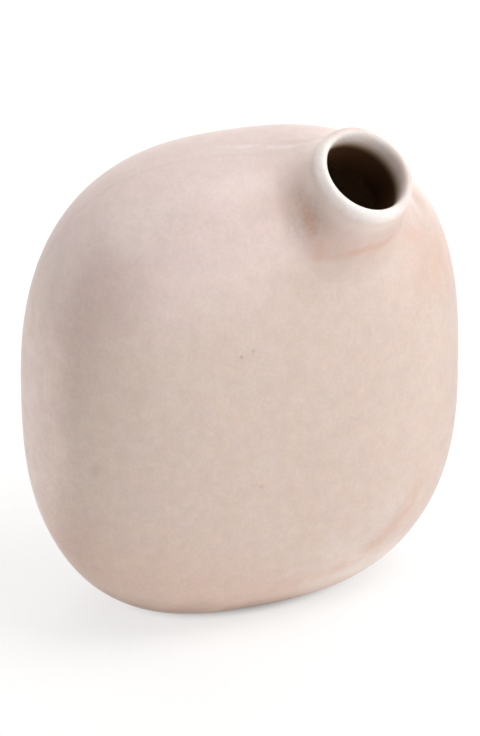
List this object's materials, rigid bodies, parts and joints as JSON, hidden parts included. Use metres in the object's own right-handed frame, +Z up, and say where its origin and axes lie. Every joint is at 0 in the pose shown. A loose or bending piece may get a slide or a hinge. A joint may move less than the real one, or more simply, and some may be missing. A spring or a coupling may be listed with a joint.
{
  "type": "vase",
  "caption": "Small upright flattened-pebble ceramic vase with a short round neck leaning forward off one shoulder.",
  "frame": {"origin": "middle of the flat underside that the vase stands on", "axes": "+Z up, -Y towards the front face that carries the neck, +X towards the side that the neck stands on"},
  "size_m": [0.1162, 0.0642, 0.1365],
  "materials": {
    "satin_glaze": "satin",
    "flashed_slip": "matte",
    "bare_clay": "matte"
  },
  "bodies": {
    "root": {"front_shell": "satin_glaze", "back_shell": "satin_glaze", "neck": "satin_glaze", "neck_joint_coil": "flashed_slip", "base_slab": "bare_clay"}
  },
  "joints": []
}
